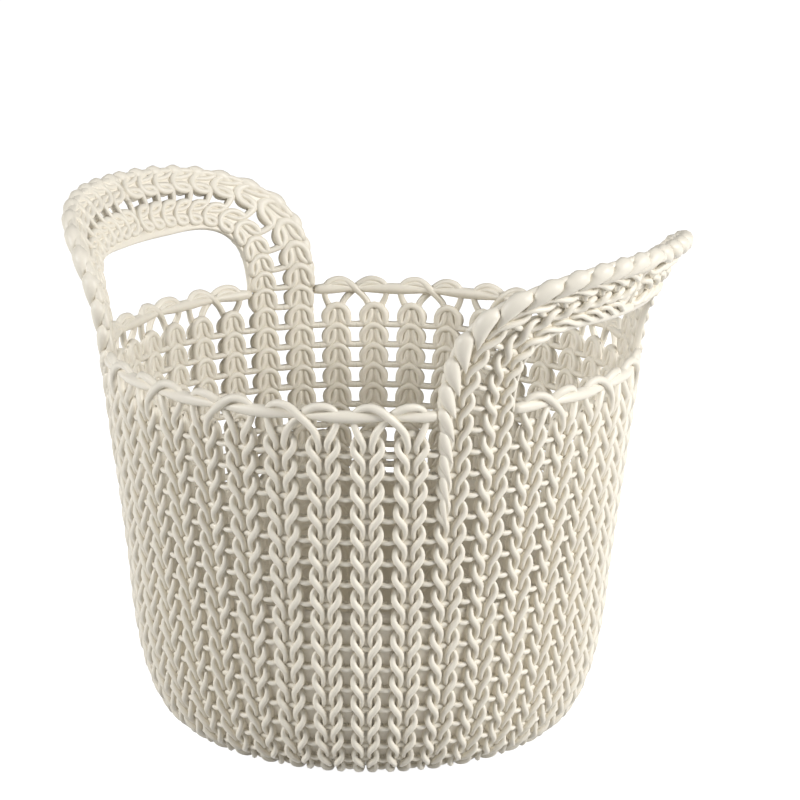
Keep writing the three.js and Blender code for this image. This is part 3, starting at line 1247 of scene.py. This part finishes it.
    def build(self, flat_map: FlatMap, knit: KnitStitch) -> None:
        """Builds the four stretches of the rim and joins them to the frame.

        Args:
            flat_map: What bends the flat pieces.
            knit: The stitch that the lashing grows from.
        """
        units = {hand: self.unit(knit, hand) for hand in (1, -1)}
        side_cord = self.cord(self.side_reach)
        panel_cord = self.cord(self.panel_reach)
        row = Row(start=(0.0, SIZES.lift(self.top_course), 0.0))
        for end in End:
            middle = end.turn + (0.0 if end.is_side else math.pi / 2)
            flat = side_cord if end.is_side else panel_cord
            cord = flat_map.on_wall(f"{end.label}_rim_cord_strand", flat, middle, row)
            register(cord, f"{end.label}_rim_cord")
            self.build_lashing(flat_map, units, end, middle)


@dataclass(frozen=True)
class Band:
    """One stitched band of a handle.

    Its free side is the one on which no band follows: 1 away from the hole, or -1.
    """

    label: str
    column: int
    free_side: int
    has_petals: bool
    widest_loop: float


@dataclass(frozen=True)
class Handles:
    """The two handles: an inner and an outer stitched band each, petals along the edge and a lip."""

    under_base: int = -2
    first_petal_course: int = 12
    first_free_course: int = 16
    crown_course: int = 26
    bands: tuple[Band, ...] = (Band("inner", 0, -1, False, 1.16), Band("outer", 1, 1, True, 1.06))
    loop_growth: float = 0.04
    arch_shift: float = 0.02
    petal_place: float = 1.2
    petal_sides: int = 10
    petal_spans: int = 18
    crown_petal_spans: int = 10
    first_petal: float = 0.36
    petal_growth: float = 0.08
    petal_diameters: tuple[float, ...] = (0.3, 2.0, 3.4, 4.7, 5.7, 6.2, 5.7, 1.2)
    crown_petal_diameters: tuple[float, ...] = (0.3, 2.4, 4.2, 5.4)
    lip_inset_leg: float = 2.7
    lip_inset_crown: float = 0.2
    lip_leg_share: float = 0.25
    lip_crown_share: float = 0.8
    lip_lap: float = 1.0
    lip_depth: float = 2.6
    lip_bevel: float = 0.7
    lip_bevel_share: float = 0.35
    lip_spans: int = 90

    @property
    def crown_top(self) -> float:
        """Way from the last bar of a band to the middle of the arch, in courses."""
        return SIZES.rim_course + HANDLE.crown_courses - self.crown_course - 1

    def petal(self) -> bpy.types.Mesh:
        """Flat petal of the outer edge.

        Returns:
            The flat piece, X from the middle of its place.
        """
        turns = [
            (1.00, -0.34, 0.7),
            (1.07, -0.08, 0.8),
            (1.16, 0.20, 1.1),
            (1.26, 0.48, 1.7),
            (1.34, 0.76, 2.3),
            (1.39, 1.00, 2.9),
            (1.41, 1.18, 3.4),
        ]
        flat = FlatMesh()
        moved = [(x - self.petal_place, y, z) for x, y, z in turns]
        flat.strand(moved, self.petal_diameters, self.petal_sides, self.petal_spans)
        return flat.mesh("petal")

    def crown_petal(self) -> bpy.types.Mesh:
        """Flat petal that meets its mirror image at the middle of the arch.

        Returns:
            The flat piece.
        """
        top = self.crown_top
        turns = [(1.10, 0.1, 0.9), (1.20, 0.4 * top, 1.2), (1.28, 0.72 * top, 1.8), (1.31, top, 2.2)]
        flat = FlatMesh()
        flat.strand(turns, self.crown_petal_diameters, self.petal_sides, self.crown_petal_spans)
        return flat.mesh("crown_petal")

    def lip(self) -> bpy.types.Mesh:
        """Flat half of the smooth strip round the hand hole, wider towards the crown.

        Returns:
            The flat piece.
        """
        spans = self.lip_spans
        foot = SIZES.wall_length - self.lip_lap
        way = HANDLE.crown_courses * SIZES.course_rise + self.lip_lap
        rings = [self.lip_ring(step / spans, foot + way * step / spans) for step in range(spans + 1)]
        flat = FlatMesh()
        flat.loft(rings, head=False)
        return flat.mesh("lip")

    def lip_ring(self, share: float, lift: float) -> list[Vector]:
        """Section of the strip.

        Args:
            share: How far round from the foot it is, the crown being 1.
            lift: Its way up.

        Returns:
            Its corners, rounded on the side of the hole.
        """
        h = HANDLE
        bevel = self.lip_bevel
        cut = bevel * self.lip_bevel_share
        ease = (share - self.lip_leg_share) / (self.lip_crown_share - self.lip_leg_share)
        ease = min(max(ease, 0.0), 1.0)
        ease = ease * ease * (3 - 2 * ease)
        inset = self.lip_inset_leg + (self.lip_inset_crown - self.lip_inset_leg) * ease
        near = h.column_at(inset) * SIZES.pitch
        far = h.column_at(h.lip_width + self.lip_lap) * SIZES.pitch
        low = (SIZES.wall_depth - self.lip_depth) / 2
        high = SIZES.wall_depth - low
        corners = [
            (near, low + bevel),
            (near, high - bevel),
            (near + cut, high - cut),
            (near + bevel, high),
            (far, high),
            (far, low),
            (near + bevel, low),
            (near + cut, low + cut),
        ]
        return [Vector((x, lift, z)) for x, z in corners]

    def band_start(self, band: Band, course: int, shift: float) -> FlatPoint:
        """Place of a band's copy at a course, moved out by a share of its column."""
        return (band.column * (1 + shift) * SIZES.pitch, SIZES.lift(course), 0.0)

    def build_band(self, flat_map: FlatMap, knit: KnitStitch, end: End, band: Band) -> None:
        """Builds the legs, the shoulders, the arch and the crown of one band.

        Args:
            flat_map: What bends the flat pieces.
            knit: The stitch that the band repeats.
            end: The handle's end.
            band: The band.
        """
        node = f"{end.label}_handle_{band.label}_band"
        plain = knit.mesh()
        edge = knit.mesh(band.free_side, band.has_petals)
        top = self.crown_course + 1
        stretches = (
            ("leg", plain, self.under_base, self.first_petal_course, 0.0, 0.0),
            ("shoulder", plain, self.first_petal_course, self.first_free_course, 0.0, 0.0),
            ("arch", edge, self.first_free_course, top, self.arch_shift, self.loop_growth),
        )
        for part, stitch, low, high, shift, growth in stretches:
            row = Row(
                high - low,
                self.band_start(band, low, shift),
                size_step=growth,
                last_size=band.widest_loop,
            )
            register(flat_map.on_handle(f"{node}_{part}_stitches", stitch, end.turn, row), node)
        row = Row(
            start=self.band_start(band, top, self.arch_shift),
            first_size=band.widest_loop,
            last_size=band.widest_loop,
        )
        crown = knit.crown(band.free_side, self.crown_top)
        register(flat_map.on_handle(node + "_crown_stitch", crown, end.turn, row), node)

    def build_petals(self, flat_map: FlatMap, end: End) -> None:
        """Builds the petals along the outer edge, and the two that meet at the crown.

        Args:
            flat_map: What bends the flat pieces.
            end: The handle's end.
        """
        node = f"{end.label}_handle_outer_band"
        top = self.crown_course + 1
        row = Row(
            top - self.first_petal_course + 1,
            (self.petal_place * SIZES.pitch, SIZES.lift(self.first_petal_course), 0.0),
            first_size=self.first_petal,
            size_step=self.petal_growth,
        )
        name = f"{end.label}_handle_edge_petals"
        register(flat_map.on_handle(name, self.petal(), end.turn, row), node)
        row = Row(start=(0.0, SIZES.lift(top), 0.0))
        name = f"{end.label}_handle_crown_petal"
        register(flat_map.on_handle(name, self.crown_petal(), end.turn, row), node)

    def build(self, flat_map: FlatMap, knit: KnitStitch) -> None:
        """Builds both handles and joins them to the frame.

        Args:
            flat_map: What bends the flat pieces.
            knit: The stitch that the bands repeat.
        """
        for end in (End.RIGHT, End.LEFT):
            for band in self.bands:
                self.build_band(flat_map, knit, end, band)
            self.build_petals(flat_map, end)
            strip = flat_map.on_handle(f"{end.label}_handle_lip_strip", self.lip(), end.turn)
            register(strip, f"{end.label}_handle_hole_lip")


@dataclass(frozen=True)
class MouldedGrain:
    """Shared effects of moulded plastic, as node groups that any finish can use."""

    cloud_name: str = "pigment_cloud"
    grain_name: str = "mould_grain"
    broad_part: float = 0.6
    small_part: float = 0.4
    cloud_detail: float = 3.0
    grain_detail: float = 4.0
    bump_distance: float = 0.02
    bump_strength: float = 0.6

    def start(self, name: str, inputs: dict[str, str], outputs: dict[str, str]) -> list[bpy.types.Node]:
        """Starts a group with named sockets.

        Args:
            name: The group's name.
            inputs: The kind of socket for each name, such as Float for Scale.
            outputs: The same for what it puts out.

        Returns:
            Its inlet and its outlet.
        """
        tree = bpy.data.node_groups.new(name, "ShaderNodeTree")
        for way, sockets in (("INPUT", inputs), ("OUTPUT", outputs)):
            for label, kind in sockets.items():
                tree.interface.new_socket(label, in_out=way, socket_type="NodeSocket" + kind)
        return [tree.nodes.new("NodeGroupInput"), tree.nodes.new("NodeGroupOutput")]

    def cloud(self) -> bpy.types.NodeTree:
        """Group that mixes two tones in soft clouds, broad ones and small ones.

        Returns:
            The group.
        """
        inlet, outlet = self.start(
            self.cloud_name,
            {"Place": "Vector", "Broad": "Float", "Small": "Float", "Tone": "Color", "Pale": "Color"},
            {"Color": "Color"},
        )
        tree = inlet.id_data
        shares = []
        for label, part in (("Broad", self.broad_part), ("Small", self.small_part)):
            noise = tree.nodes.new("ShaderNodeTexNoise")
            noise.inputs["Detail"].default_value = self.cloud_detail
            feed(tree, noise.inputs["Vector"], inlet.outputs["Place"])
            feed(tree, noise.inputs["Scale"], inlet.outputs[label])
            shares.append(Value(tree, noise.outputs["Fac"]) * part)
        mix = tree.nodes.new("ShaderNodeMix")
        mix.data_type = "RGBA"
        feed(tree, mix.inputs["Factor"], shares[0] + shares[1])
        feed(tree, mix.inputs[COLOR_A], inlet.outputs["Tone"])
        feed(tree, mix.inputs[COLOR_B], inlet.outputs["Pale"])
        feed(tree, outlet.inputs["Color"], mix.outputs[COLOR_RESULT])
        return tree

    def grain(self) -> bpy.types.NodeTree:
        """Group for the fine grain that a mould leaves: uneven gloss and a faint relief.

        Returns:
            The group.
        """
        inlet, outlet = self.start(
            self.grain_name,
            {"Place": "Vector", "Scale": "Float", "Gloss": "Float", "Spread": "Float", "Relief": "Float"},
            {"Roughness": "Float", "Normal": "Vector"},
        )
        tree = inlet.id_data
        noise = tree.nodes.new("ShaderNodeTexNoise")
        noise.inputs["Detail"].default_value = self.grain_detail
        feed(tree, noise.inputs["Vector"], inlet.outputs["Place"])
        feed(tree, noise.inputs["Scale"], inlet.outputs["Scale"])
        level = Value(tree, noise.outputs["Fac"])
        gloss = Value(tree, inlet.outputs["Gloss"])
        spread = Value(tree, inlet.outputs["Spread"])
        feed(tree, outlet.inputs["Roughness"], gloss + (level - 0.5) * spread)
        bump = tree.nodes.new("ShaderNodeBump")
        bump.inputs["Distance"].default_value = self.bump_distance * MM
        bump.inputs["Strength"].default_value = self.bump_strength
        feed(tree, bump.inputs["Height"], level * Value(tree, inlet.outputs["Relief"]))
        feed(tree, outlet.inputs["Normal"], bump.outputs["Normal"])
        return tree


@dataclass(frozen=True)
class CreamPlastic:
    """Satin cream plastic with a faint mottle and the fine grain of a mould."""

    name: str = "cream_satin_plastic"
    color: tuple[float, float, float] = (0.80, 0.745, 0.635)
    pale: tuple[float, float, float] = (0.86, 0.815, 0.715)
    broad_scale: float = 18.0
    small_scale: float = 160.0
    grain_scale: float = 900.0
    roughness: float = 0.42
    roughness_spread: float = 0.16
    relief: float = 1.0
    ior: float = 1.49

    def used(
        self, tree: bpy.types.NodeTree, group: bpy.types.NodeTree, values: dict[str, object]
    ) -> bpy.types.Node:
        """Adds a shared group.

        Args:
            tree: The material's tree.
            group: The group.
            values: Its inputs, by name.

        Returns:
            The group's node.
        """
        node = tree.nodes.new("ShaderNodeGroup")
        node.node_tree = group
        for label, value in values.items():
            feed(tree, node.inputs[label], value)
        return node

    def material(self, effects: MouldedGrain) -> bpy.types.Material:
        """The finish as a material.

        Args:
            effects: The shared effects that it uses.

        Returns:
            The material.
        """
        made = bpy.data.materials.new(self.name)
        made.use_nodes = True
        tree = made.node_tree
        shader = tree.nodes["Principled BSDF"]
        shader.inputs["IOR"].default_value = self.ior
        place = tree.nodes.new("ShaderNodeTexCoord").outputs["Object"]
        clouds = {
            "Place": place,
            "Broad": self.broad_scale,
            "Small": self.small_scale,
            "Tone": (*self.color, 1.0),
            "Pale": (*self.pale, 1.0),
        }
        grains = {
            "Place": place,
            "Scale": self.grain_scale,
            "Gloss": self.roughness,
            "Spread": self.roughness_spread,
            "Relief": self.relief,
        }
        cloud = self.used(tree, effects.cloud(), clouds)
        grain = self.used(tree, effects.grain(), grains)
        feed(tree, shader.inputs["Base Color"], cloud.outputs["Color"])
        feed(tree, shader.inputs["Roughness"], grain.outputs["Roughness"])
        feed(tree, shader.inputs["Normal"], grain.outputs["Normal"])
        return made


@dataclass(frozen=True)
class Lamp:
    """A square soft lamp: its place and width in metres and its power in watts."""

    name: str
    place: FlatPoint
    size: float
    power: float


@dataclass(frozen=True)
class Studio:
    """The camera of the photograph, a pale floor and soft light."""

    distance: float = 1149.43
    elevation: float = 0.31194
    azimuth: float = math.radians(327.89)
    aim_height: float = 60.0
    pan: float = -0.0094
    tilt: float = -0.04886
    roll: float = -0.00801
    focal_share: float = 3099.8 / 800
    sensor: float = 36.0
    floor_color: tuple[float, float, float] = (0.5, 0.5, 0.5)
    floor_glow: float = 0.95
    floor_roughness: float = 0.9
    floor_half: float = 6.0
    fill: float = 0.14
    lamp_aim: FlatPoint = (0.0, 0.0, 0.08)
    lamps: tuple[Lamp, ...] = (
        Lamp("right", (1.42, 0.16, 0.77), 0.8, 24.6),
        Lamp("left", (-0.82, -1.18, 0.77), 0.6, 16.6),
        Lamp("top", (0.0, 0.0, 1.7), 1.0, 0.6),
    )

    def add_camera(self) -> None:
        """Places the camera where the outline in the photograph puts it."""
        round_axis = Matrix.Rotation(-self.azimuth, 3, "Z")
        back = Vector((0.0, -math.cos(self.elevation), math.sin(self.elevation)))
        place = round_axis @ (back * self.distance + Vector((0.0, 0.0, self.aim_height)))
        facing = round_axis @ Matrix.Rotation(math.pi / 2 - self.elevation, 3, "X")
        facing = facing @ Matrix.Rotation(self.pan, 3, "Y")
        facing = facing @ Matrix.Rotation(-self.tilt, 3, "X")
        facing = facing @ Matrix.Rotation(-self.roll, 3, "Z")
        data = bpy.data.cameras.new("photo_camera")
        data.sensor_width = self.sensor
        data.lens = self.focal_share * self.sensor
        camera = bpy.data.objects.new("photo_camera", data)
        camera.matrix_world = Matrix.Translation(place * MM) @ facing.to_4x4()
        bpy.context.scene.collection.objects.link(camera)
        bpy.context.scene.camera = camera

    def add_lamp(self, lamp: Lamp) -> None:
        """Adds a lamp that faces the basket.

        Args:
            lamp: The lamp.
        """
        data = bpy.data.lights.new(lamp.name, "AREA")
        data.size = lamp.size
        data.energy = lamp.power
        made = bpy.data.objects.new(lamp.name, data)
        made.location = lamp.place
        aim = Vector(self.lamp_aim) - Vector(lamp.place)
        made.rotation_mode = "QUATERNION"
        made.rotation_quaternion = aim.to_track_quat("-Z", "Y")
        bpy.context.scene.collection.objects.link(made)

    def add_floor(self) -> None:
        """Adds the floor."""
        half = self.floor_half
        corners = [(-half, -half, 0), (half, -half, 0), (half, half, 0), (-half, half, 0)]
        mesh = bpy.data.meshes.new("floor")
        mesh.from_pydata(corners, [], [(0, 1, 2, 3)])
        floor = bpy.data.objects.new("floor", mesh)
        bpy.context.scene.collection.objects.link(floor)
        material = bpy.data.materials.new("pale_floor")
        material.use_nodes = True
        tree = material.node_tree
        shader = tree.nodes["Principled BSDF"]
        shader.inputs["Base Color"].default_value = (*self.floor_color, 1.0)
        shader.inputs["Roughness"].default_value = self.floor_roughness
        shader.inputs["Emission Strength"].default_value = self.floor_glow
        rays = tree.nodes.new("ShaderNodeLightPath").outputs
        seen = Value(tree, rays["Is Camera Ray"])
        for kind in ("Is Glossy Ray", "Is Transmission Ray"):
            seen = seen + Value(tree, rays[kind])
        feed(tree, shader.inputs["Emission Color"], seen)
        mesh.materials.append(material)

    def add_world(self) -> None:
        """Adds the surroundings: white to look at, and a faint light from all round."""
        world = bpy.data.worlds.new("studio")
        world.use_nodes = True
        tree = world.node_tree
        background = tree.nodes["Background"]
        background.inputs["Color"].default_value = (1.0, 1.0, 1.0, 1.0)
        seen = Value(tree, tree.nodes.new("ShaderNodeLightPath").outputs["Is Camera Ray"])
        feed(tree, background.inputs["Strength"], seen * (1.0 - self.fill) + self.fill)
        bpy.context.scene.world = world

    def build(self) -> None:
        """Builds the studio."""
        self.add_camera()
        self.add_floor()
        for lamp in self.lamps:
            self.add_lamp(lamp)
        self.add_world()
        bpy.context.scene.view_settings.view_transform = "Standard"


def main() -> None:
    """Builds the basket, piece by piece."""
    logging.basicConfig(level=logging.INFO, format="%(name)s %(message)s")
    Studio().build()
    plastic = CreamPlastic().material(MouldedGrain())
    flat_map = FlatMap(plastic)
    knit = KnitStitch()
    BaseCup().build(flat_map)
    WallPanels().build(flat_map, knit.mesh())
    Rim().build(flat_map, knit)
    Handles().build(flat_map, knit)
    flat_map.clear()


if __name__ == "__main__":
    main()
